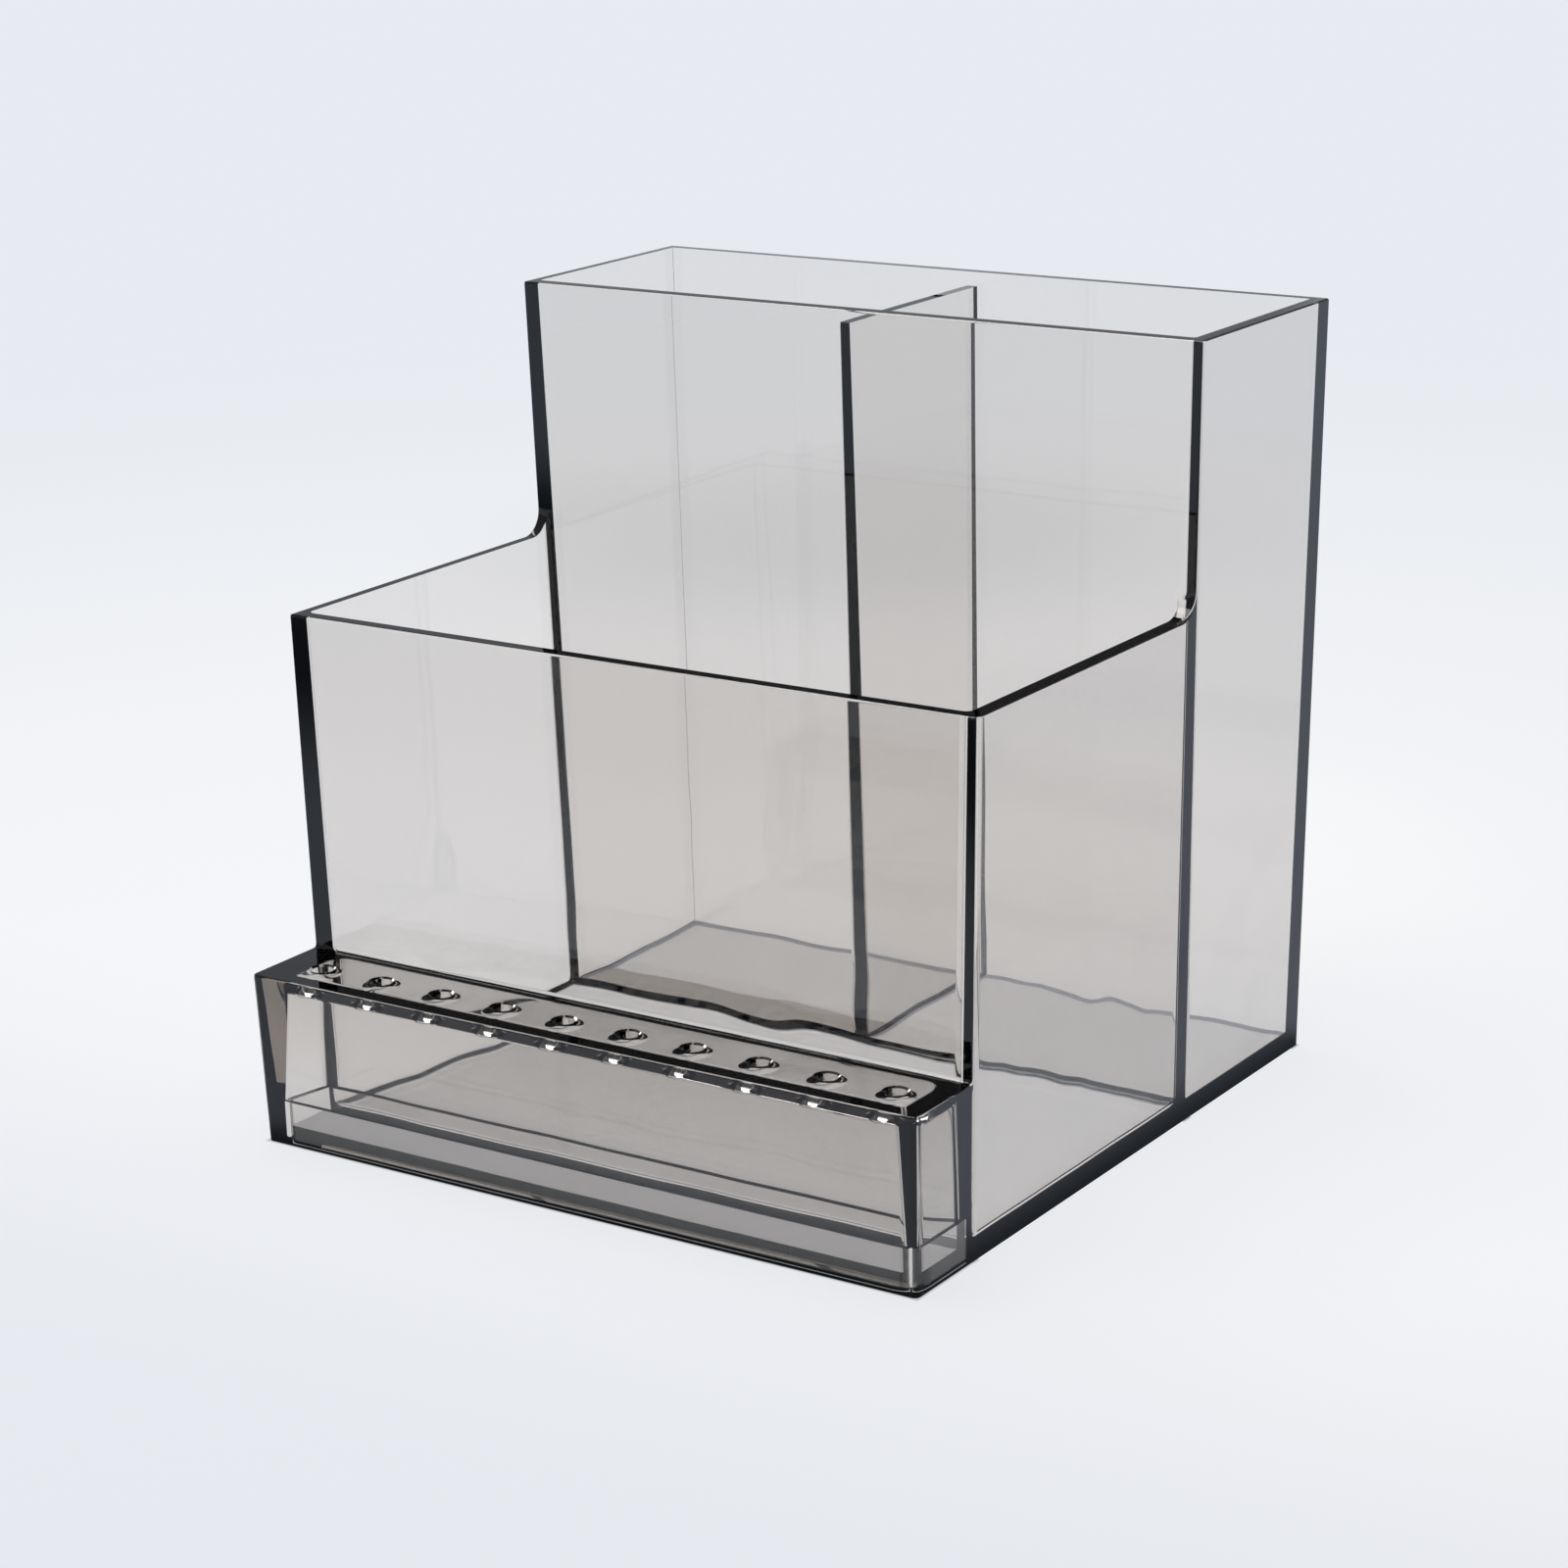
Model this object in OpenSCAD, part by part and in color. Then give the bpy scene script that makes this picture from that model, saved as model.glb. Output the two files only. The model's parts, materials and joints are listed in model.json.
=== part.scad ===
// Desktop storage box for nail drill bits and hand tools, in smoky clear plastic.
// A wide compartment stands at the front, two tall ones behind it, and a low rack with a row of
// holes runs along the foot of the front wall. The outer walls lean out towards the rim, and every
// wall is a little thicker at its foot than at its rim.
// +X is to the right, +Y to the back and +Z up. The origin lies under the middle of the box.

/* [Whole box] */
// Outer width of the tall section at its rim
rim_w = 108; // [98:0.1:120]
// Height of the tall rear section
tall_h = 106; // [95:0.5:120]
// Depth of the tall rear section at its rim
tall_d = 36.2; // [30:0.1:45]
// Height of the front compartment
front_h = 69.8; // [55:0.1:85]
// Depth of the front compartment, from its front face to the tall section
front_d = 54.7; // [40:0.1:65]
// Radius of the round inner corner where each side wall steps up
step_r = 3.6; // [1:0.1:8]

/* [Walls] */
// Thickness of the outer walls at the tall rim
rim_t = 1.75; // [1.4:0.05:2]
// Thickness of the outer walls where they stand on the base
root_t = 2.1; // [2:0.05:3]
// Thickness of the cross partition at its top
partition_rim_t = 1.9; // [1.4:0.05:2.2]
// Thickness of the cross partition at its foot
partition_root_t = 2.6; // [2.2:0.05:3.4]
// Thickness of the base plate
base_t = 2.3; // [1.8:0.1:3.4]
// Thickness of the centre divider at its top
divider_rim_t = 1.6; // [1.2:0.1:1.9]
// Thickness of the centre divider at its foot
divider_root_t = 1.9; // [1.9:0.1:3]
// How far the top of the centre divider lies below the tall rim
divider_drop = 2; // [0.5:0.1:10]
// Outward lean of the side walls in degrees
side_lean = 1.5; // [0:0.1:3]
// Outward lean of the back wall in degrees
back_lean = 1.1; // [0:0.1:3]

/* [Bit rack] */
// Height of the rack
rack_h = 23.6; // [18:0.1:30]
// Depth of the rack at its top
rack_d = 13.1; // [11.5:0.1:18]
// Outward lean of the rack's front in degrees
rack_lean = 1.7; // [0:0.1:3]
// Thickness of the rack's top plate
rack_top_t = 2.4; // [1.5:0.1:4]
// Thickness of the rack's front and ends under the top plate
rack_head_t = 4; // [3:0.1:4.5]
// Thickness of the rack's front and ends just above the cover
rack_foot_t = 2.4; // [2.2:0.1:3]
// Thickness of the lip round the cover
lip_t = 1.6; // [1:0.1:2]
// Number of bit holes
hole_count = 10; // [2:1:10]
// Distance between neighbouring bit holes
hole_pitch = 10; // [8:0.1:10.5]
// Diameter of a bit hole, for shanks of 2.35 mm
hole_d = 3; // [2.5:0.05:3.3]

/* [Bottom cover] */
// Height of the cover's rim, and of the rebate that takes it
cover_h = 5.8; // [4:0.1:8]
// Thickness of the cover's floor, which the bits stand on
cover_t = 2.2; // [1.5:0.1:3]
// Thickness of the cover's rim
cover_rim_t = 1.2; // [0.8:0.1:2]
// Clearance between the cover and the rack, on each side
cover_gap = 0.1; // [0.05:0.05:0.3]

/* [Hidden] */
$fn = 96;
smoke = [0.4, 0.39, 0.39, 0.55];
// How far a cutting solid runs past what it cuts
past = 1;

whole_d = rack_d + front_d + tall_d;
rack_front_y = -whole_d / 2;
front_y = rack_front_y + rack_d;
step_y = front_y + front_d;
back_rim_y = whole_d / 2;
hole_y = front_y - rack_d / 2;
rack_roof_z = rack_h - rack_top_t;

// Places of the outer faces at height z
function side_x(z) = rim_w / 2 - (tall_h - z) * tan(side_lean);
function back_y(z) = back_rim_y - (tall_h - z) * tan(back_lean);
function rack_y(z) = rack_front_y + (rack_h - z) * tan(rack_lean);

// Thicknesses at height z
function between(z, low_z, high_z, low, high) = low + (high - low) * (z - low_z) / (high_z - low_z);
function wall_t(z) = between(z, base_t, tall_h, root_t, rim_t);
function partition_t(z) = between(z, base_t, tall_h, partition_root_t, partition_rim_t);
function divider_t(z) = between(z, base_t, tall_h - divider_drop, divider_root_t, divider_rim_t);
function rack_t(z) = between(z, cover_h, rack_roof_z, rack_foot_t, rack_head_t);

// Inner face of a side wall at height z
function inner_x(z) = side_x(z) - wall_t(z);
// Inner faces of the lip round the cover
lip_x = side_x(0) - lip_t;
lip_y = rack_y(0) + lip_t;

// Draws a shape of X and Z and runs it along Y
module along_y(from, to) {
    translate([0, to, 0]) rotate([90, 0, 0]) linear_extrude(to - from) children();
}

// Draws a shape of Y and Z and runs it across the whole width
module across() {
    translate([-rim_w / 2 - past, 0, 0]) rotate([90, 0, 90]) linear_extrude(rim_w + 2 * past) children();
}

// A shape of X and Z with the same sloping side left and right
module even_section(low_z, high_z, low_x, high_x) {
    polygon([[-low_x, low_z], [low_x, low_z], [high_x, high_z], [-high_x, high_z]]);
}

// A shape of Y and Z between two sloping faces
module panel_section(low_z, high_z, low_front, low_back, high_front, high_back) {
    polygon([[low_front, low_z], [low_back, low_z], [high_back, high_z], [high_front, high_z]]);
}

// A panel that stands on the base and runs from one side wall to the other
module cross_panel(top_z) {
    intersection() {
        along_y(front_y - past, back_rim_y + past)
            even_section(base_t, top_z, inner_x(base_t), inner_x(top_z));
        across() children();
    }
}

// The stepped outline of a side wall, with its round inner corner
module side_outline() {
    polygon([[front_y, base_t], [back_y(base_t), base_t], [back_rim_y, tall_h],
        [step_y, tall_h], [step_y, front_h], [front_y, front_h]]);
    translate([step_y - step_r, front_h]) difference() {
        square(step_r);
        translate([0, step_r]) circle(step_r);
    }
}

module base_plate() {
    color(smoke) intersection() {
        along_y(front_y, back_rim_y) even_section(0, base_t, side_x(0), side_x(base_t));
        across() panel_section(0, base_t, front_y, back_y(0), front_y, back_y(base_t));
    }
}

module right_side_wall() {
    color(smoke) intersection() {
        along_y(front_y - past, back_rim_y + past)
            polygon([[inner_x(base_t), base_t], [side_x(base_t), base_t],
                [side_x(tall_h), tall_h], [inner_x(tall_h), tall_h]]);
        across() side_outline();
    }
}

module left_side_wall() {
    mirror([1, 0, 0]) right_side_wall();
}

module front_wall() {
    color(smoke) cross_panel(front_h)
        panel_section(base_t, front_h, front_y, front_y + wall_t(base_t),
            front_y, front_y + wall_t(front_h));
}

module cross_partition() {
    color(smoke) cross_panel(tall_h)
        panel_section(base_t, tall_h, step_y, step_y + partition_root_t,
            step_y, step_y + partition_rim_t);
}

module back_wall() {
    color(smoke) cross_panel(tall_h)
        panel_section(base_t, tall_h, back_y(base_t) - root_t, back_y(base_t),
            back_rim_y - rim_t, back_rim_y);
}

module centre_divider() {
    top_z = tall_h - divider_drop;
    color(smoke) intersection() {
        along_y(step_y, back_rim_y)
            even_section(base_t, top_z, divider_root_t / 2, divider_t(top_z) / 2);
        across() panel_section(base_t, top_z, step_y + partition_root_t, back_y(base_t) - root_t,
            step_y + partition_t(top_z), back_y(top_z) - wall_t(top_z));
    }
}

// The rack's outer form between two heights
module rack_form(low_z, high_z) {
    intersection() {
        along_y(rack_front_y - past, front_y + past)
            even_section(low_z, high_z, side_x(low_z), side_x(high_z));
        across() panel_section(low_z, high_z, rack_y(low_z), front_y, rack_y(high_z), front_y);
    }
}

// The hollow of the rack in one section: half its width, or its depth, from the middle outwards
module rack_hollow_section(lip, foot, head, far) {
    polygon([[far, -past], [lip, -past], [lip, cover_h], [foot, cover_h],
        [head, rack_roof_z], [far, rack_roof_z]]);
}

// Everything behind the inner face of the rack's front
module behind_rack_front() {
    across() rack_hollow_section(lip_y, rack_y(cover_h) + rack_foot_t,
        rack_y(rack_roof_z) + rack_head_t, front_y + past);
}

module rack_top_plate() {
    color(smoke) difference() {
        rack_form(rack_roof_z, rack_h);
        for (i = [0 : hole_count - 1])
            translate([(i - (hole_count - 1) / 2) * hole_pitch, hole_y, rack_roof_z - past])
                cylinder(d = hole_d, h = rack_top_t + 2 * past);
    }
}

module rack_front() {
    color(smoke) difference() {
        rack_form(0, rack_roof_z);
        behind_rack_front();
    }
}

module rack_right_end() {
    color(smoke) difference() {
        intersection() {
            rack_form(0, rack_roof_z);
            behind_rack_front();
        }
        along_y(rack_front_y - past, front_y + past)
            rack_hollow_section(lip_x, side_x(cover_h) - rack_foot_t,
                side_x(rack_roof_z) - rack_head_t, -rim_w);
    }
}

module rack_left_end() {
    mirror([1, 0, 0]) rack_right_end();
}

module rack_bottom_cover() {
    half_w = lip_x - cover_gap;
    low_y = lip_y + cover_gap;
    depth = front_y - cover_gap - low_y;
    color(smoke) difference() {
        translate([-half_w, low_y, 0]) cube([2 * half_w, depth, cover_h]);
        translate([-half_w + cover_rim_t, low_y + cover_rim_t, cover_t])
            cube([2 * (half_w - cover_rim_t), depth - 2 * cover_rim_t, cover_h]);
    }
}

base_plate();
left_side_wall();
right_side_wall();
front_wall();
cross_partition();
back_wall();
centre_divider();
rack_top_plate();
rack_front();
rack_left_end();
rack_right_end();
rack_bottom_cover();
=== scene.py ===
# %% [markdown]
# # A smoky clear storage box for nail drill bits
# The real box is moulded in thin, smoky clear plastic. Nearly all that the eye sees of it is glass work:
# what stands behind a wall, a little darker and a little shifted, and near-black lines where a wall is
# seen along its length. So the lesson builds the body as a moulder would, as one closed skin with hollows
# taken out of an outer form, and gives it a plastic that drinks light by the millimetre. Separate walls
# would show a false seam at every joint, because light would leave one wall and enter the next.

# %% Load the frame
import json
import math
from contextlib import contextmanager

import bmesh
import bpy
from mathutils import Matrix, Vector


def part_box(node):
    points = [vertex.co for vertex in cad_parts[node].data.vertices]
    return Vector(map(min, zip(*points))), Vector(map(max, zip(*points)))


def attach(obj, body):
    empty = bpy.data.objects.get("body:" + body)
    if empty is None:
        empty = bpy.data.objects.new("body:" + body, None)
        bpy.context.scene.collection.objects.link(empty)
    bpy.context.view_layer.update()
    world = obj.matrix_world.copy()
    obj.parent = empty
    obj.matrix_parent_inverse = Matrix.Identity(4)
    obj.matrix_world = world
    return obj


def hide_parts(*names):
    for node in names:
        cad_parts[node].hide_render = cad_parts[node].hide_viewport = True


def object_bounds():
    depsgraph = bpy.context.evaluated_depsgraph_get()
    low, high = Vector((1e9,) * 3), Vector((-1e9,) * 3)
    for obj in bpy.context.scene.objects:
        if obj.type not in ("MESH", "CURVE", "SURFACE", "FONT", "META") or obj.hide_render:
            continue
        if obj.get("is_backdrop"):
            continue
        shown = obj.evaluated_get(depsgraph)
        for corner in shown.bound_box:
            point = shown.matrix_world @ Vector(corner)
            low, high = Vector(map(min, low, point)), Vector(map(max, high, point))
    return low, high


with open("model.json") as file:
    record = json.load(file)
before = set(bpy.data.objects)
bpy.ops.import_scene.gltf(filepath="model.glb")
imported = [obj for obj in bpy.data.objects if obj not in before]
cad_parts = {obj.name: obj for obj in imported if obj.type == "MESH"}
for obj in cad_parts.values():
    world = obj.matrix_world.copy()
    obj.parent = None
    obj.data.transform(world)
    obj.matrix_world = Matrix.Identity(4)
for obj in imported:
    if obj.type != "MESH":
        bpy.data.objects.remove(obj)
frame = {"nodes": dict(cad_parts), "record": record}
cad_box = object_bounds()
scene = bpy.context.scene
MM = 0.001
print("nodes:", sorted(frame["nodes"]))

# %% [markdown]
# ## Sizes from the frame
# Each main size is read from the solids, so that the looks can't drift away from the construction. The
# outer walls lean outwards and get thinner towards the rim. Two heights on one face fix such a slope, and
# a small function then gives the face's place, or the wall's thickness, at any height.

# %% Read the main sizes
base_low, base_high = map(Vector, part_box("base_plate"))
side_low, side_high = map(Vector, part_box("right_side_wall"))
_, front_high = map(Vector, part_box("front_wall"))
partition_low, partition_high = map(Vector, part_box("cross_partition"))
_, back_high = map(Vector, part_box("back_wall"))
divider_low, divider_high = map(Vector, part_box("centre_divider"))
rack_top_low, rack_top_high = map(Vector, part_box("rack_top_plate"))
rack_front_low, rack_front_high = map(Vector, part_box("rack_front"))
rack_end_low, _ = map(Vector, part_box("rack_right_end"))
cover_low, cover_high = map(Vector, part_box("rack_bottom_cover"))

base_t, front_h, tall_h = base_high.z, front_high.z, side_high.z
rack_h, roof_z, cover_h = rack_top_high.z, rack_top_low.z, cover_high.z
front_y, step_y = base_low.y, partition_low.y


def line(z_a, value_a, z_b, value_b):
    """A straight line through two heights, as a function of the height."""
    return lambda z: value_a + (value_b - value_a) * (z - z_a) / (z_b - z_a)


PARTITION_RIM_T = 1.9 * MM
DIVIDER_RIM_T = 1.6 * MM
side_x = line(base_t, base_high.x, tall_h, side_high.x)
back_y = line(base_t, base_high.y, tall_h, back_high.y)
rim_t = side_high.x - partition_high.x
root_t = base_high.x - side_low.x
wall_t = line(base_t, root_t, tall_h, rim_t)
partition_t = line(base_t, partition_high.y - partition_low.y, tall_h, PARTITION_RIM_T)
divider_t = line(base_t, divider_high.x - divider_low.x, divider_high.z, DIVIDER_RIM_T)


def inner_x(z):
    return side_x(z) - wall_t(z)


print("rim", round(2 * side_high.x / MM, 2), "mm wide, outer walls", round(rim_t / MM, 2), "to",
      round(root_t / MM, 2), "mm, base", round(base_t / MM, 2), "mm")

# %% [markdown]
# ## Picking by place
# Each form starts as a block and is shaped in edit mode, as by hand: pick some vertices, edges or faces,
# then run one of Blender's tools on them. A person picks with the mouse; here a small test on each
# element's place does it, which keeps working when a size changes.

# %% Tools for picking
KINDS = {"verts": "VERT", "edges": "EDGE", "faces": "FACE"}
NEARLY = 0.02 * MM


@contextmanager
def editing(piece):
    """Edit mode on one piece, and back to object mode afterwards."""
    bpy.ops.object.select_all(action="DESELECT")
    piece.select_set(True)
    bpy.context.view_layer.objects.active = piece
    bpy.ops.object.mode_set(mode="EDIT")
    yield
    bpy.ops.object.mode_set(mode="OBJECT")


def pick(piece, kind, test):
    """Selects just the vertices, edges or faces that pass a test."""
    bpy.ops.mesh.select_mode(type=KINDS[kind])
    bpy.ops.mesh.select_all(action="DESELECT")
    mesh = bmesh.from_edit_mesh(piece.data)
    for element in getattr(mesh, kind):
        if test(element):
            element.select_set(True)
    mesh.select_flush_mode()
    bmesh.update_edit_mesh(piece.data)


def close(a, b):
    return abs(a - b) < NEARLY


print("picks", ", ".join(KINDS), "that lie within", round(NEARLY / MM, 2), "mm of a place")

# %% [markdown]
# ## Shaping what is picked
# Three steps come again and again: start from a block, move some of its corners and round some of its
# edges. Each is a short function round the operators that a person would call from the menus.

# %% Tools for shaping
def block(name, low, high):
    """A box between two corners, with its place in its mesh."""
    bpy.ops.object.select_all(action="DESELECT")
    low, high = Vector(low), Vector(high)
    bpy.ops.mesh.primitive_cube_add(size=1, location=(low + high) / 2, scale=high - low)
    piece = bpy.context.active_object
    piece.name = piece.data.name = name
    bpy.ops.object.transform_apply(location=True, rotation=True, scale=True)
    return piece


def push(piece, test, offset):
    """Moves the vertices whose place passes a test."""
    pick(piece, "verts", lambda v: test(v.co))
    bpy.ops.transform.translate(value=offset)


def round_off(piece, test, radius, segments):
    """Rounds the edges that pass a test."""
    pick(piece, "edges", test)
    bpy.ops.mesh.bevel(offset=radius, segments=segments, profile=0.5, affect="EDGES", clamp_overlap=True)


print("shaping tools ready")

# %% [markdown]
# ## Tests for edges and faces
# The walls lean, so hardly an edge is exactly upright. The tests therefore ask only for the main direction,
# and they know an edge to be rounded by how sharply the faces turn there.

# %% Tests for picking
STEEP = math.radians(50)
MOSTLY, LEVEL = 0.8, 0.9


def middle(edge):
    return (edge.verts[0].co + edge.verts[1].co) / 2


def upright(edge):
    along = edge.verts[1].co - edge.verts[0].co
    return abs(along.z) > MOSTLY * along.length


def sharp_at(z):
    """A test for the sharp edges that lie at one height."""
    return lambda e: all(close(v.co.z, z) for v in e.verts) and e.calc_face_angle(0) > STEEP


def sharp_outer(edge):
    """A test for the sharp outward edges above the floor."""
    return edge.is_convex and middle(edge).z > 0 and edge.calc_face_angle(0) > STEEP


def faces_up(face, way=1):
    """A test for the faces that look up (way 1) or down (way -1)."""
    return face.normal.z * way > LEVEL


print("sharp edges turn by more than", round(math.degrees(STEEP)), "degrees")

# %% [markdown]
# ## The outer form
# Seen from the side, the box is three steps: the low rack, the front compartment and the tall back. A
# block is raised twice, each time by extruding the part of its top that lies behind a cut. Then each
# level is widened to the place that the leaning walls have there. Joining three blocks would work too,
# but would leave faces inside the walls.

# %% Raise the steps
LIP_T = 1.6 * MM
FLAT = math.radians(0.2)
rack_foot_y = rack_end_low.y - LIP_T
rack_y = line(0, rack_foot_y, rack_h, rack_top_low.y)
body = block("moulded_box", (-side_x(0), rack_foot_y, 0), (side_x(0), back_y(0), rack_h))


def raise_behind(piece, cut_y, from_z, to_z):
    """Cuts across at cut_y, and raises the top behind the cut."""
    bpy.ops.mesh.select_all(action="SELECT")
    bpy.ops.mesh.bisect(plane_co=(0, cut_y, 0), plane_no=(0, 1, 0))
    pick(piece, "faces", lambda f: faces_up(f) and f.calc_center_median().y > cut_y
         and close(f.calc_center_median().z, from_z))
    bpy.ops.mesh.extrude_region_move(TRANSFORM_OT_translate={"value": (0, 0, to_z - from_z)})


with editing(body):
    raise_behind(body, front_y, rack_h, front_h)
    raise_behind(body, step_y, front_h, tall_h)
    push(body, lambda p: close(p.z, rack_h) and close(p.y, rack_foot_y), (0, rack_top_low.y - rack_foot_y, 0))
    for level in (rack_h, front_h, tall_h):
        pick(body, "verts", lambda v: close(v.co.z, level))
        bpy.ops.transform.resize(value=(side_x(level) / side_x(0), 1, 1), center_override=(0, 0, 0))
        push(body, lambda p: close(p.z, level) and close(p.y, back_y(0)), (0, back_y(level) - back_y(0), 0))
    bpy.ops.mesh.select_all(action="SELECT")
    bpy.ops.mesh.dissolve_limited(angle_limit=FLAT)
print("outer form:", len(body.data.polygons), "faces")

# %% [markdown]
# ## Rounded outer edges
# A mould never leaves a knife edge. The step in the side walls has a clear round inner corner, the rack
# meets the front wall in a small one, and all other outer edges are only just broken, which is enough to
# make them catch a thin line of light. Bevels go from the widest to the finest, so that the fine ones
# run round the wide ones.

# %% Round the outer edges
STEP_R = 3.6 * MM
ROOT_R = 0.5 * MM
RACK_EDGE_R = 0.8 * MM
EDGE_R = 0.3 * MM
rack_middle_y = front_y - 5 * MM


def along_x(y, z):
    """A test for the edges that run across the box at one place."""
    return lambda e: all(close(v.co.y, y) and close(v.co.z, z) for v in e.verts)


with editing(body):
    round_off(body, along_x(step_y, front_h), STEP_R, segments=12)
    round_off(body, along_x(front_y, rack_h), ROOT_R, segments=4)
    round_off(body, lambda e: upright(e) and middle(e).y < rack_middle_y, RACK_EDGE_R, segments=5)
    round_off(body, sharp_outer, EDGE_R, segments=3)
print("rounded form:", len(body.data.polygons), "faces")

# %% [markdown]
# ## The front compartment
# A hollow is a block of its own, a little narrower at its foot, with rounded corners and a rounded floor
# edge. A Boolean takes it out of the outer form and leaves the walls at their true thickness. On the real
# box the core that left the hollows stood a little off centre, so the right wall is a touch thicker.

# %% Hollow the front compartment
ABOVE = 6 * MM
FRONT_CORNER_R = 1 * MM
FLOOR_R = 2 * MM
CORE_SHIFT = -0.25 * MM


def hollow_block(name, top_z, low_y, high_y):
    """A hollow between the side walls, whose front and back are functions of the height."""
    foot = base_t
    wider = inner_x(top_z) - inner_x(foot)
    piece = block(name, (-inner_x(foot), low_y(foot), foot), (inner_x(foot), high_y(foot), top_z))
    with editing(piece):
        push(piece, lambda p: close(p.z, top_z) and p.x > 0, (wider, 0, 0))
        push(piece, lambda p: close(p.z, top_z) and p.x < 0, (-wider, 0, 0))
        for face_y in (low_y, high_y):
            push(piece, lambda p: close(p.z, top_z) and close(p.y, face_y(foot)),
                 (0, face_y(top_z) - face_y(foot), 0))
        push(piece, lambda p: True, (CORE_SHIFT, 0, 0))
    return piece


def take_out(piece, cutter):
    """Takes the cutter's form out of a piece, and throws the cutter away."""
    hollow = piece.modifiers.new("hollow", "BOOLEAN")
    hollow.operation = "DIFFERENCE"
    hollow.solver = "EXACT"
    hollow.object = cutter
    bpy.ops.object.select_all(action="DESELECT")
    bpy.context.view_layer.objects.active = piece
    bpy.ops.object.modifier_apply(modifier=hollow.name)
    bpy.data.objects.remove(cutter)


front_hollow = hollow_block("front_hollow", front_h + ABOVE, lambda z: front_y + wall_t(z), lambda z: step_y)
with editing(front_hollow):
    round_off(front_hollow, upright, FRONT_CORNER_R, segments=6)
    round_off(front_hollow, sharp_at(base_t), FLOOR_R, segments=5)
take_out(body, front_hollow)
print("with the front compartment:", len(body.data.polygons), "faces")

# %% [markdown]
# ## The two tall compartments
# One hollow serves both: a block as wide as the box, with a slot where the centre divider stays. The slot
# stops short of the rim, because the divider does. The divider's top leans a little to the left, as thin
# walls do that cool between two hollows.

# %% Hollow the tall compartments
DIVIDER_SWAY = -0.75 * MM
CORNER_R = 0.5 * MM
BACK_CORNER_R = 0.2 * MM
BY_THE_WALL = 4 * MM
rear_hollow = hollow_block("rear_hollow", tall_h + ABOVE, lambda z: step_y + partition_t(z),
                           lambda z: back_y(z) - wall_t(z))
slot_foot, slot_top = base_t - ABOVE, divider_high.z
slot = block("divider_slot", (-divider_t(slot_foot) / 2, step_y - ABOVE, slot_foot),
             (divider_t(slot_foot) / 2, back_y(tall_h) + ABOVE, slot_top))
with editing(slot):
    pick(slot, "verts", lambda v: close(v.co.z, slot_top))
    narrower = divider_t(slot_top) / divider_t(slot_foot)
    bpy.ops.transform.resize(value=(narrower, 1, 1), center_override=(0, 0, 0))
    bpy.ops.transform.translate(value=(DIVIDER_SWAY, 0, 0))
take_out(rear_hollow, slot)
with editing(rear_hollow):
    round_off(rear_hollow, lambda e: upright(e) and middle(e).y > back_y(0) - BY_THE_WALL,
              BACK_CORNER_R, segments=3)
    round_off(rear_hollow, lambda e: upright(e) and middle(e).y < step_y + BY_THE_WALL,
              CORNER_R, segments=4)
    round_off(rear_hollow, sharp_at(base_t), FLOOR_R, segments=5)
take_out(body, rear_hollow)
print("with the tall compartments:", len(body.data.polygons), "faces")

# %% [markdown]
# ## The hollow of the bit rack
# The rack is hollowed from below. A low wide rebate takes the cover, and above it the hollow narrows
# towards the roof, so that the rack's walls are heavy under the roof and thin at the foot. The heavy top
# is what makes the dark band along the rack's upper edge. The hollow's back corners are well rounded, and
# each shows through the rack as a broad dark line.

# %% Hollow the rack
BELOW = 2 * MM
SHELF = 0.05 * MM
RACK_FOOT_T = 2.4 * MM
RACK_CORNER_R = 0.6 * MM
RACK_BACK_R = 2.5 * MM
REBATE_R = 2.6 * MM
ROOF_R = 0.3 * MM
rack_head_t = rack_front_high.y - rack_front_low.y
lip_x, lip_y = side_x(0) - LIP_T, rack_foot_y + LIP_T
rack_hollow = block("rack_hollow", (-lip_x, lip_y, -BELOW), (lip_x, front_y, cover_h))


def raise_roof(piece, from_z, to_z, thickness_at, thickness):
    """Extrudes the hollow's top to a new height, and leaves a given wall round it there."""
    pick(piece, "faces", lambda f: faces_up(f) and close(f.calc_center_median().z, from_z))
    bpy.ops.mesh.extrude_region_move(TRANSFORM_OT_translate={"value": (0, 0, to_z - from_z)})
    top = [v.co for v in bmesh.from_edit_mesh(piece.data).verts if v.select]
    was_x, was_y = max(p.x for p in top), min(p.y for p in top)
    half_x, low_y = side_x(thickness_at) - thickness, rack_y(thickness_at) + thickness
    bpy.ops.transform.resize(value=(half_x / was_x, 1, 1), center_override=(0, 0, 0))
    push(piece, lambda p: close(p.z, to_z) and close(p.y, was_y), (0, low_y - was_y, 0))


with editing(rack_hollow):
    raise_roof(rack_hollow, cover_h, cover_h + SHELF, cover_h, RACK_FOOT_T)
    raise_roof(rack_hollow, cover_h + SHELF, roof_z, roof_z, rack_head_t)
    for low, high, at_front, radius in ((cover_h, roof_z, True, RACK_CORNER_R),
                                        (cover_h, roof_z, False, RACK_BACK_R),
                                        (-BELOW, cover_h, True, REBATE_R)):
        round_off(rack_hollow, lambda e: upright(e) and low < middle(e).z < high
                  and (middle(e).y < rack_middle_y) == at_front, radius, segments=6)
    round_off(rack_hollow, sharp_at(roof_z), ROOF_R, segments=5)
take_out(body, rack_hollow)
print("with the rack's hollow:", len(body.data.polygons), "faces, walls", round(rack_head_t / MM, 2),
      "mm at the roof")

# %% [markdown]
# ## The bit holes
# One drill is shaped from a cylinder: its ends are extruded and widened into a small mouth above and, below,
# a funnel that ends in a flatter flare, as the pins of the mould leave them. The flare turns light from above
# towards the eye, so each hole shows as a bright speck under the dark edge of the rack. The drill is copied
# to each hole that the record names, the copies are joined, and one cut makes the whole row.

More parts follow.
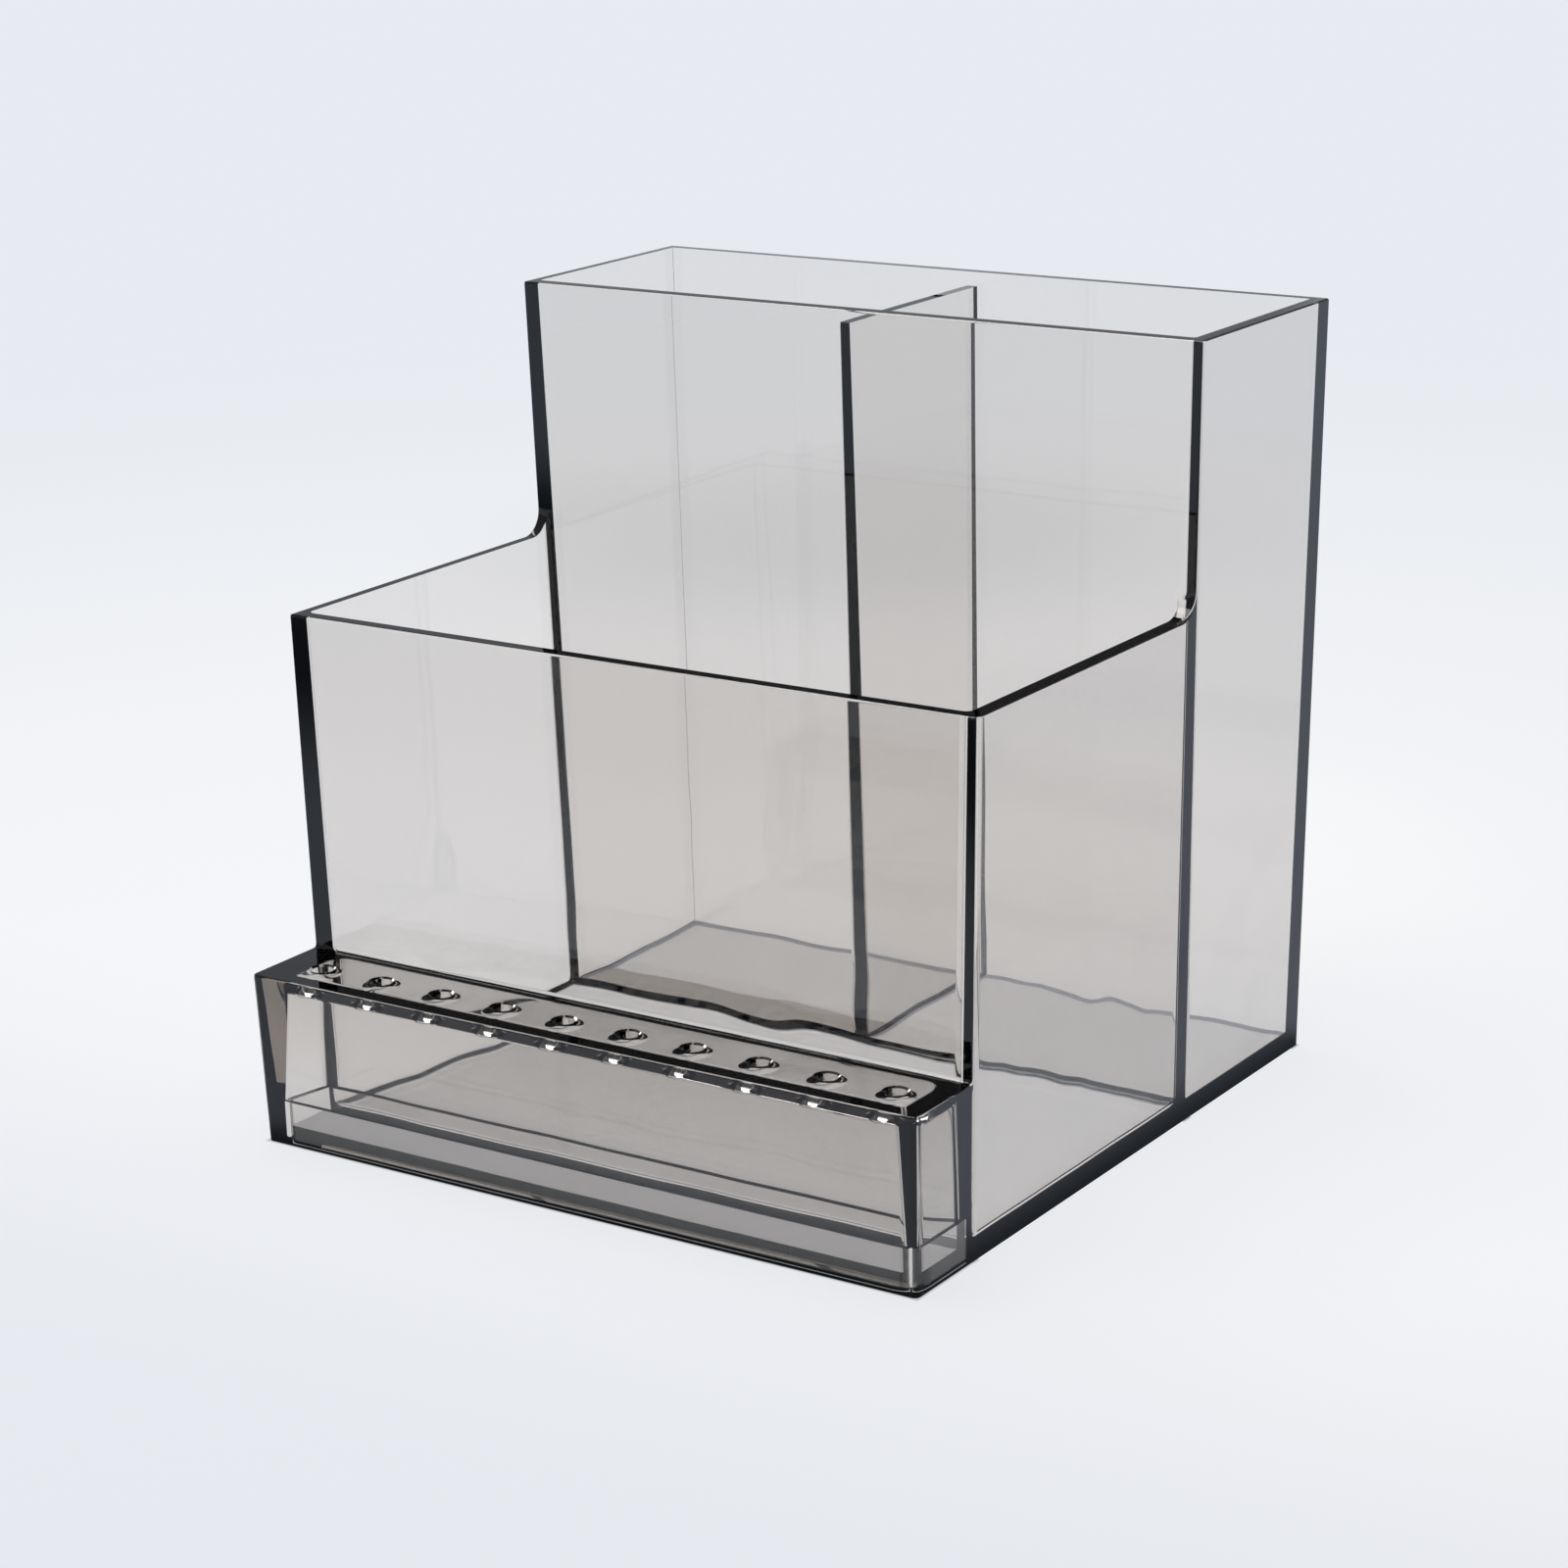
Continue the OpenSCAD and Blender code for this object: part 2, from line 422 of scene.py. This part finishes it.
# %% Drill the holes
MOUTH = 0.25 * MM
FUNNEL = 0.6 * MM
THROAT_R = 0.8 * FUNNEL
FLARE_RISE, FLARE_REACH = 0.3 * MM, 0.6 * MM
holes = [mount for mount in frame["record"]["mounts"] if mount["kind"] == "bore"]
hole_r = holes[0]["dims"]["r_mm"] * MM
hole_x, hole_y, _ = holes[0]["pos_m"]
drill_low, drill_high = roof_z + FUNNEL + FLARE_RISE, rack_h - MOUTH
bpy.ops.object.select_all(action="DESELECT")
bpy.ops.mesh.primitive_cylinder_add(vertices=48, radius=hole_r, depth=drill_high - drill_low,
                                    location=(hole_x, hole_y, (drill_low + drill_high) / 2))
drill = bpy.context.active_object
bpy.ops.object.transform_apply(location=True, rotation=True, scale=True)


def widen_end(piece, way, *cones):
    """Extrudes the drill's upper end (way 1) or lower end (way -1) into cones of a given rise and reach."""
    pick(piece, "faces", lambda f: faces_up(f, way))
    radius = hole_r
    for rise, reach in cones:
        wider = (radius + reach) / radius
        radius += reach
        bpy.ops.mesh.extrude_region_move(TRANSFORM_OT_translate={"value": (0, 0, way * rise)})
        bpy.ops.transform.resize(value=(wider, wider, 1), center_override=(hole_x, hole_y, rack_h))
    bpy.ops.mesh.extrude_region_move(TRANSFORM_OT_translate={"value": (0, 0, way * MOUTH)})


with editing(drill):
    widen_end(drill, 1, (MOUTH, MOUTH))
    widen_end(drill, -1, (FUNNEL, FUNNEL), (FLARE_RISE, FLARE_REACH))
    round_off(drill, lambda e: close(middle(e).z, drill_low), THROAT_R, segments=4)
drills = [drill]
for hole in holes[1:]:
    bpy.ops.object.select_all(action="DESELECT")
    drill.select_set(True)
    bpy.context.view_layer.objects.active = drill
    bpy.ops.object.duplicate(linked=False)
    bpy.ops.transform.translate(value=(hole["pos_m"][0] - hole_x, 0, 0))
    bpy.ops.object.transform_apply(location=True, rotation=True, scale=True)
    drills.append(bpy.context.active_object)
for each in drills:
    each.select_set(True)
bpy.context.view_layer.objects.active = drill
bpy.ops.object.join()
take_out(body, drill)
print("drilled", len(holes), "holes of", round(2 * hole_r / MM, 2), "mm")

# %% [markdown]
# ## A closed skin with clean shading
# Glass shading only works on a closed skin, so stray double points from the cuts are merged and open edges
# are counted. Shading smooth by angle keeps flat walls flat, and the Weighted Normal modifier stops the
# fine bevels from bending the look of the walls beside them.

# %% Finish the body's skin
MERGED = 0.002 * MM
SMOOTH = math.radians(32)
CM3 = 1e-6


def finish_skin(piece):
    """Merges what the cuts left, and shades flat faces flat and round ones round."""
    with editing(piece):
        bpy.ops.mesh.select_all(action="SELECT")
        bpy.ops.mesh.remove_doubles(threshold=MERGED)
        bpy.ops.mesh.normals_make_consistent(inside=False)
    bpy.ops.object.shade_smooth_by_angle(angle=SMOOTH)
    even = piece.modifiers.new("even normals", "WEIGHTED_NORMAL")
    even.keep_sharp = True
    even.weight = 100
    bpy.ops.object.modifier_apply(modifier=even.name)
    skin = bmesh.new()
    skin.from_mesh(piece.data)
    open_edges = sum(not e.is_manifold for e in skin.edges)
    print(piece.name, len(skin.faces), "faces,", open_edges, "open edges,",
          round(skin.calc_volume() / CM3, 2), "cm3")
    skin.free()


finish_skin(body)

# %% [markdown]
# ## The cover under the rack
# A shallow tray with a thin rim closes the rack from below, and the bits stand on its floor. A block is
# inset and pressed in, and its corners are rounded to lie in the rounded rebate. It keeps a hair of air all
# round: touching faces would make one fused block of the two pieces.

# %% Make the cover
COVER_RIM_T = 1.2 * MM
COVER_FLOOR_T = 2.2 * MM
COVER_EDGE_R = 0.2 * MM
cover = block("rack_cover", cover_low, (cover_high.x, cover_high.y, cover_h - SHELF))
with editing(cover):
    pick(cover, "faces", faces_up)
    bpy.ops.mesh.inset(thickness=COVER_RIM_T)
    deeper = COVER_FLOOR_T - (cover_h - SHELF)
    bpy.ops.mesh.extrude_region_move(TRANSFORM_OT_translate={"value": (0, 0, deeper)})
    round_off(cover, lambda e: upright(e) and close(abs(middle(e).x), cover_high.x)
              and middle(e).y < rack_middle_y, REBATE_R, segments=5)
    round_off(cover, sharp_outer, COVER_EDGE_R, segments=2)
finish_skin(cover)

# %% [markdown]
# ## Writing shaders as sums
# Wiring nodes by hand hides simple sums behind many lines. This small class wraps a socket, so that a mask
# can be written as 1 - a * b, and each operator adds the Math node that a person would have placed. Any
# other node comes from its node method: its settings first, and then its sockets.

# %% The shader class
class Wire:
    """One socket of a material's nodes, which can be used in sums like a number."""

    def __init__(self, tree, socket=None):
        self.tree = tree
        self.socket = socket

    def node(self, kind, settings=None, sockets=None, output=0):
        """Adds a node of any kind: its settings first, then its sockets by name or place."""
        made = self.tree.nodes.new("ShaderNode" + kind)
        for name, value in (settings or {}).items():
            setattr(made, name, value)
        for name, value in (sockets or {}).items():
            if isinstance(value, Wire):
                self.tree.links.new(value.socket, made.inputs[name])
            else:
                made.inputs[name].default_value = value
        return Wire(self.tree, made.outputs[output] if made.outputs else None)

    def sum(self, operation, first, second):
        return self.node("Math", {"operation": operation}, {0: first, 1: second})

    def __add__(self, other):
        return self.sum("ADD", self, other)

    def __radd__(self, other):
        return self.sum("ADD", other, self)

    def __sub__(self, other):
        return self.sum("SUBTRACT", self, other)

    def __rsub__(self, other):
        return self.sum("SUBTRACT", other, self)

    def __mul__(self, other):
        return self.sum("MULTIPLY", self, other)

    def __rmul__(self, other):
        return self.sum("MULTIPLY", other, self)

    def rising(self, low, high, to_low=0.0, to_high=1.0):
        """A soft step from one level to another, while this value goes from low to high."""
        ends = {"From Min": low, "From Max": high, "To Min": to_low, "To Max": to_high}
        return self.node("MapRange", {"interpolation_type": "SMOOTHSTEP"}, {"Value": self, **ends})


def new_shader(holder):
    """Empties a material's or a world's nodes, and starts a shader in it."""
    holder.use_nodes = True
    holder.node_tree.nodes.clear()
    return Wire(holder.node_tree)


def blend_colour(shader, factor, first, second):
    """A mix of two colours, of which either may be a socket."""
    return shader.node("MixRGB", None, {"Fac": factor, "Color1": first, "Color2": second})


print("shader class ready")

# %% [markdown]
# ## Smoky clear plastic
# The plastic lets light straight through and bends it. Its grey comes from depth alone: a wall drinks about
# an eighth of the light, and the length of a wall drinks nearly all of it, which draws the dark edges. Two
# things keep it from looking like perfect glass. The moulded faces are very slightly wavy, most of all low
# down, and the polish is a little uneven, with a few duller patches.

# %% Make the plastic
SMOKE_COLOUR = (0.44, 0.36, 0.28, 1)
SMOKE_DENSITY = 100
REFRACTION = 1.5
WAVE, WAVE_SCALE, CALM = 0.2 * MM, 100, 0.06
WAVY_FROM, WAVY_FULL, WAVY_UNTIL, WAVY_GONE = 2 * MM, 5 * MM, 26 * MM, 40 * MM
CLOUD_SCALE, DULL_FROM, DULL_FULL, DULLEST = 90, 0.35, 0.75, 0.03
plastic = bpy.data.materials.new("smoky_clear_plastic")
shade = new_shader(plastic)
place = shade.node("TexCoord", output="Object")
height = shade.node("SeparateXYZ", None, {0: place}, output="Z")
waves = shade.node("TexNoise", None, {"Vector": place, "Scale": WAVE_SCALE, "Detail": 0.0})
low_down = height.rising(WAVY_FROM, WAVY_FULL) * (1 - height.rising(WAVY_UNTIL, WAVY_GONE))
swell = (waves - 0.5) * (CALM + (1 - CALM) * low_down)
wavy = shade.node("Bump", None, {"Strength": 1.0, "Distance": WAVE, "Height": swell})
clouds = shade.node("TexNoise", None, {"Vector": place, "Scale": CLOUD_SCALE, "Detail": 3.0})
polish = clouds.rising(DULL_FROM, DULL_FULL, to_high=DULLEST)
skin = shade.node("BsdfPrincipled", None, {
    "Base Color": (1, 1, 1, 1), "IOR": REFRACTION, "Transmission Weight": 1.0,
    "Roughness": polish, "Normal": wavy})
smoke = shade.node("VolumeAbsorption", None, {"Color": SMOKE_COLOUR, "Density": SMOKE_DENSITY})
shade.node("OutputMaterial", None, {"Surface": skin, "Volume": smoke})
for piece in (body, cover):
    piece.data.materials.clear()
    piece.data.materials.append(plastic)
print("light left after 2 mm of plastic:",
      [round(math.exp(-2 * MM * SMOKE_DENSITY * (1 - c)), 3) for c in SMOKE_COLOUR[:3]])

# %% [markdown]
# ## Pieces on the frame
# The body stands for all the bonded walls, which stay in the model for contact, and the cover stands for
# its own solid. Nothing on this box moves, so both ride on the one body.

# %% Place the pieces
for piece, stands_for in ((body, [n for n in frame["nodes"] if n != "rack_bottom_cover"]),
                          (cover, ["rack_bottom_cover"])):
    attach(piece, "root")
    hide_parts(*stands_for)
    print(piece.name, "stands for", len(stands_for), "solids")

# %% [markdown]
# ## The pale floor
# Clear plastic has hardly a colour of its own, so the floor is most of the picture: what the eye sees
# through the box is floor. It is a round sheet of paper that reaches far past the box, and it lies a hair
# lower than the box stands, because two faces in one place would flicker.

# %% Lay the floor
STAGE_R = 6.0
FLOOR_GAP = 0.05 * MM
bpy.ops.object.select_all(action="DESELECT")
bpy.ops.mesh.primitive_circle_add(vertices=96, radius=STAGE_R, fill_type="NGON", location=(0, 0, -FLOOR_GAP))
floor = bpy.context.active_object
floor.name = "floor"
bpy.ops.object.transform_apply(location=True, rotation=True, scale=True)
print("floor", 2 * STAGE_R, "m across")

# %% [markdown]
# ## Masks on the floor
# The paper isn't equally light everywhere. A mask says where: it is a number from 0 to 1 at each spot, made
# from the spot's distance to a line or to a point. Three kinds are enough here, a band, a rectangle and a
# disc, all with soft edges.

# %% Tools for masks
paper = bpy.data.materials.new("pale_paper")
shade = new_shader(paper)
spot = shade.node("TexCoord", output="Object")
across = shade.node("SeparateXYZ", None, {0: spot}, output="X")
inward = shade.node("SeparateXYZ", None, {0: spot}, output="Y")


def within(value, low, high, soft):
    """A mask that is full between two levels, and fades out over a soft edge beyond them."""
    return value.rising(low - soft, low) * (1 - value.rising(high, high + soft))


def field(low_x, high_x, low_y, high_y, soft):
    """A mask for a rectangle on the floor, with soft edges."""
    return within(across, low_x, high_x, soft) * within(inward, low_y, high_y, soft)


def disc(x, y, inner, outer):
    """A round mask on the floor, full within one radius and gone beyond another."""
    apart = shade.node("VectorMath", {"operation": "DISTANCE"}, {0: spot, 1: (x, y, 0)}, output="Value")
    return 1 - apart.rising(inner, outer)


print("masks measure from the middle of the box")

# %% [markdown]
# ## Lighter and darker patches
# The paper carries painted light and shade. Under the box it glows fully, painted light that stands in for
# the light coming down through the plastic. Painted shade darkens it under the rack, whose many walls take
# more of the light, in a line under the foot of each wall but the right one, where light has come down the
# wall's whole height, and in a strip behind the partition on the left. Behind the box lies a painted pool of
# light, standing in for light that the box gathers, and beyond that a painted soft shadow.

# %% Mask the patches
SHADE_W, EDGE_W = 9 * MM, 0.5 * MM
STRIP_D = 8 * MM
DARK_FRONT_LOW_Y, DARK_FRONT_HIGH_Y, DARK_FRONT_SOFT = -0.24, -0.22, 0.08
NEAR_R, FAR_R = 0.1, 0.6
SHADOW_X, SHADOW_Y, SHADOW_INNER, SHADOW_OUTER = -0.175, 0.29, 0.02, 0.11
GATHERED_X, GATHERED_Y, GATHERED_INNER, GATHERED_OUTER = -0.02, 0.11, 0.03, 0.09
foot_x, foot_back = side_x(0), back_y(0)
clear_x, clear_y = foot_x - root_t, foot_back - root_t
behind_y, divider_x = partition_high.y, divider_high.x
# Painted dark reflection: a band of floor in front that only mirrored rays find dark.
mirrored_dark_front = within(inward, DARK_FRONT_LOW_Y, DARK_FRONT_HIGH_Y, DARK_FRONT_SOFT)
# The first is painted contact shade round the box's foot, seen only in reflections; the second is the
# footprint.
mirrored_contact_shade, under = (field(-foot_x, foot_x, rack_foot_y, foot_back, soft) for soft in (SHADE_W, EDGE_W))
# The rack's footprint, where painted shade darkens the paper.
under_rack = under * (1 - inward.rising(front_y, front_y + EDGE_W))
clear_front = field(-clear_x, foot_x, front_y + root_t, step_y, EDGE_W)
clear_left = field(-clear_x, -divider_x, behind_y, clear_y, EDGE_W)
clear_right = field(divider_x, foot_x, behind_y, clear_y, EDGE_W)
# Painted shade in lines under the feet of the walls, all but the right one.
foot_painted_shade = (under - under_rack) * (1 - clear_front - clear_left - clear_right)
away = 1 - disc(0, 0, NEAR_R, FAR_R)
# Painted soft shadow behind the box.
painted_shadow = disc(SHADOW_X, SHADOW_Y, SHADOW_INNER, SHADOW_OUTER)
# Painted pool of light behind the box.
painted_light_pool = disc(GATHERED_X, GATHERED_Y, GATHERED_INNER, GATHERED_OUTER)
# Painted shade in a strip behind the partition on the left.
partition_painted_shade = field(-clear_x, -divider_x, behind_y, behind_y + STRIP_D, EDGE_W)
print("the box covers", round(2 * foot_x / MM, 1), "by", round((foot_back - rack_foot_y) / MM, 1),
      "mm of floor")

# %% [markdown]
# ## The floor's colours
# The paper glows, as in a bright tent, and close round the box a share of the glow gives way to plain paper,
# which takes light and shadow. The glow is brightest close round the box, a painted pool of light, and
# dimmer in front and far off. The colours are laid on in layers, each through its mask. Mirrored rays alone
# find a cooler floor, dark in front and dark round the foot of the box: these are painted reflections,
# which give the plastic its deep edges.

# %% Colour the floor
# The glow is brightest near the box, a painted pool of light, and dimmer in front and far off.
GLOW_FRONT, GLOW_NEAR, GLOW_FAR = (0.83, 0.85, 0.90, 1), (0.95, 0.96, 0.985, 1), (0.80, 0.83, 0.875, 1)
# Colours of the painted pool of light and the painted shadow.
PAINTED_LIGHT_POOL, PAINTED_SHADOW = (1.0, 1.0, 1.01, 1), (0.78, 0.80, 0.835, 1)
# Painted shade colours: under the walls' feet, under the rack and behind the partition.
FOOT_PAINTED_SHADE, RACK_PAINTED_SHADE, PARTITION_PAINTED_SHADE = (0.40, 0.42, 0.48, 1), (0.10, 0.09, 0.08, 1), (0.26, 0.21, 0.18, 1)
# Painted reflection colours, seen by mirrored rays alone, and the plain paper's colour.
MIRRORED_COOL, MIRRORED_DARK, PAPER = (0.62, 0.69, 0.82, 1), (0.09, 0.105, 0.13, 1), (0.9, 0.92, 0.95, 1)
# Shares of painted shade, and of the painted dark reflection round the box's foot.
RACK_SHARE, PARTITION_SHARE, MIRRORED_CONTACT_SHARE, PAPER_SHARE = 0.48, 0.5, 0.9, 0.18
FRONT_END_Y = -0.12
mirrored = shade.node("LightPath", output="Is Reflection Ray")
# Painted dark reflections: in front and round the box's foot, for mirrored rays only.
dark = 1 - (1 - mirrored * mirrored_dark_front) * (1 - MIRRORED_CONTACT_SHARE * mirrored * mirrored_contact_shade)
glow_colour = blend_colour(shade, inward.rising(FRONT_END_Y, 0.0), GLOW_FRONT, GLOW_NEAR)
# Layers of painted light, shadow, shade and reflection over the glow.
for mask, colour in ((away, GLOW_FAR), (painted_shadow, PAINTED_SHADOW), (painted_light_pool, PAINTED_LIGHT_POOL),
                     (PARTITION_SHARE * partition_painted_shade, PARTITION_PAINTED_SHADE), (foot_painted_shade, FOOT_PAINTED_SHADE),
                     (RACK_SHARE * under_rack, RACK_PAINTED_SHADE), (mirrored, MIRRORED_COOL), (dark, MIRRORED_DARK)):
    glow_colour = blend_colour(shade, mask, glow_colour, colour)
# The plain paper takes the painted dark reflections too.
lit = shade.node("BsdfDiffuse", None, {"Color": blend_colour(shade, dark, PAPER, MIRRORED_DARK)})
glow = shade.node("Emission", None, {"Color": glow_colour})
# Under the box the paper only glows: painted light in place of the shadow the box would cast there.
glowing = 1 - PAPER_SHARE * (1 - away) * (1 - under)
mixed = shade.node("MixShader", None, {0: glowing, 1: lit, 2: glow})
shade.node("OutputMaterial", None, {"Surface": mixed})
floor.data.materials.append(paper)
floor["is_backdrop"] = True
print("floor coloured with", len(paper.node_tree.nodes), "nodes")

# %% [markdown]
# ## The room
# Behind the floor's far edge stands a pale backdrop, which is all that the camera itself sees there, so that
# low views have no horizon. To any other ray the room above it is dark. Light that is turned upwards inside a
# wall ends in that dark room, which is why the ends of the walls look black. The flat rims mirror it too, but
# with a grey haze that starts lower, and so they look grey.

# %% Make the room
ROOM, ROOM_FROM, ROOM_FULL = (0.07, 0.072, 0.078, 1), 0.2, 0.245
HAZE, HAZE_FROM, HAZE_FULL = (0.29, 0.30, 0.33, 1), 0.12, 0.18
world = bpy.data.worlds.new("soft_room")
scene.world = world
shade = new_shader(world)
seen = shade.node("LightPath", output="Is Camera Ray")
direction = shade.node("TexCoord", output="Object")
upward = shade.node("SeparateXYZ", None, {0: direction}, output="Z")
scattered = shade.node("LightPath", output="Is Diffuse Ray")
mirrored = shade.node("LightPath", output="Is Reflection Ray") * (1 - scattered)
dark_from = ROOM_FROM - (ROOM_FROM - HAZE_FROM) * mirrored
dark_full = ROOM_FULL - (ROOM_FULL - HAZE_FULL) * mirrored
above = (1 - seen) * upward.rising(dark_from, dark_full)
room = blend_colour(shade, mirrored, ROOM, HAZE)
sky = shade.node("Background", None, {"Color": blend_colour(shade, above, GLOW_FAR, room)})
shade.node("OutputWorld", None, {"Surface": sky})
print("the room is dark from", round(math.degrees(math.asin(ROOM_FULL))), "degrees above the floor")

# %% [markdown]
# ## Soft light
# One wide lamp hangs over the box, out of the picture. Its size makes the shadows soft, and its power is set
# for the size, so that a wider lamp would be no brighter to look at.

# %% Hang the lamp
LAMP_SIDE, LAMP_LEVEL = 0.5, 3.8
LAMP_PLACE = (-0.1, 0.0, 0.6)
bpy.ops.object.select_all(action="DESELECT")
bpy.ops.object.light_add(type="AREA", location=LAMP_PLACE)
lamp = bpy.context.active_object
lamp.name = "soft_box"
lamp.data.size = LAMP_SIDE
lamp.data.energy = LAMP_LEVEL * math.pi * LAMP_SIDE ** 2
lamp.visible_camera = False
print("lamp", round(lamp.data.energy, 2), "W")

# %% [markdown]
# ## The camera
# The camera was fitted to the box's corners in the picture: how far round, how high, a slight roll, the
# distance and the focal length. The picture's middle lies a little below the lens's axis, which the shift
# puts right.

# %% Set the camera
AZIMUTH, ELEVATION, ROLL = (math.radians(a) for a in (33.926, 14.974, -1.396))
TARGET = Vector((0, 1.8, 58.69)) * MM
DISTANCE = 530.62 * MM
FOCAL_PX, PICTURE_PX = 4036, 1600
AXIS_PX = (11.07, -111.56)
back = Vector((math.sin(AZIMUTH), -math.cos(AZIMUTH), math.tan(ELEVATION))).normalized()
level_right = (-back).cross(Vector((0, 0, 1))).normalized()
level_up = level_right.cross(-back)
right = math.cos(ROLL) * level_right + math.sin(ROLL) * level_up
up = math.cos(ROLL) * level_up - math.sin(ROLL) * level_right
bpy.ops.object.select_all(action="DESELECT")
bpy.ops.object.camera_add()
camera = bpy.context.active_object
turn = Matrix((right, up, back)).transposed().to_4x4()
camera.matrix_world = Matrix.Translation(TARGET + DISTANCE * back) @ turn
camera.data.sensor_width = 36
camera.data.lens = camera.data.sensor_width * FOCAL_PX / PICTURE_PX
camera.data.shift_x = -AXIS_PX[0] / PICTURE_PX
camera.data.shift_y = AXIS_PX[1] / PICTURE_PX
camera.data.clip_start = 10 * MM
scene.camera = camera
print("lens", round(camera.data.lens, 1), "mm")

# %% [markdown]
# ## How long light is followed
# Light passes up to a dozen faces of this box in a straight line, so it is followed through many of them.
# Light that runs along inside a wall is mirrored again and again, and would be drunk up anyway. It is given
# up after its first mirroring, which saves time and keeps the edges clean and dark.

# %% Set the light paths
scene.view_settings.view_transform = "Standard"
scene.cycles.max_bounces = 48
scene.cycles.transmission_bounces = 48
scene.cycles.glossy_bounces = 1
scene.cycles.diffuse_bounces = 4
scene.cycles.transparent_max_bounces = 16
print("light is followed through", scene.cycles.transmission_bounces, "faces")

# %% [markdown]
# ## Compare the sizes and finish
# The looks must not change the object's size, so the solids' box and the finished pieces' box are printed
# side by side at the end.

# %% Compare and finish
visual_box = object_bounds()
for side, cad, seen_at in zip(("low", "high"), cad_box, visual_box):
    print(side, "corner of the solids", [round(v / MM, 2) for v in cad], "and looks",
          [round(v / MM, 2) for v in seen_at])
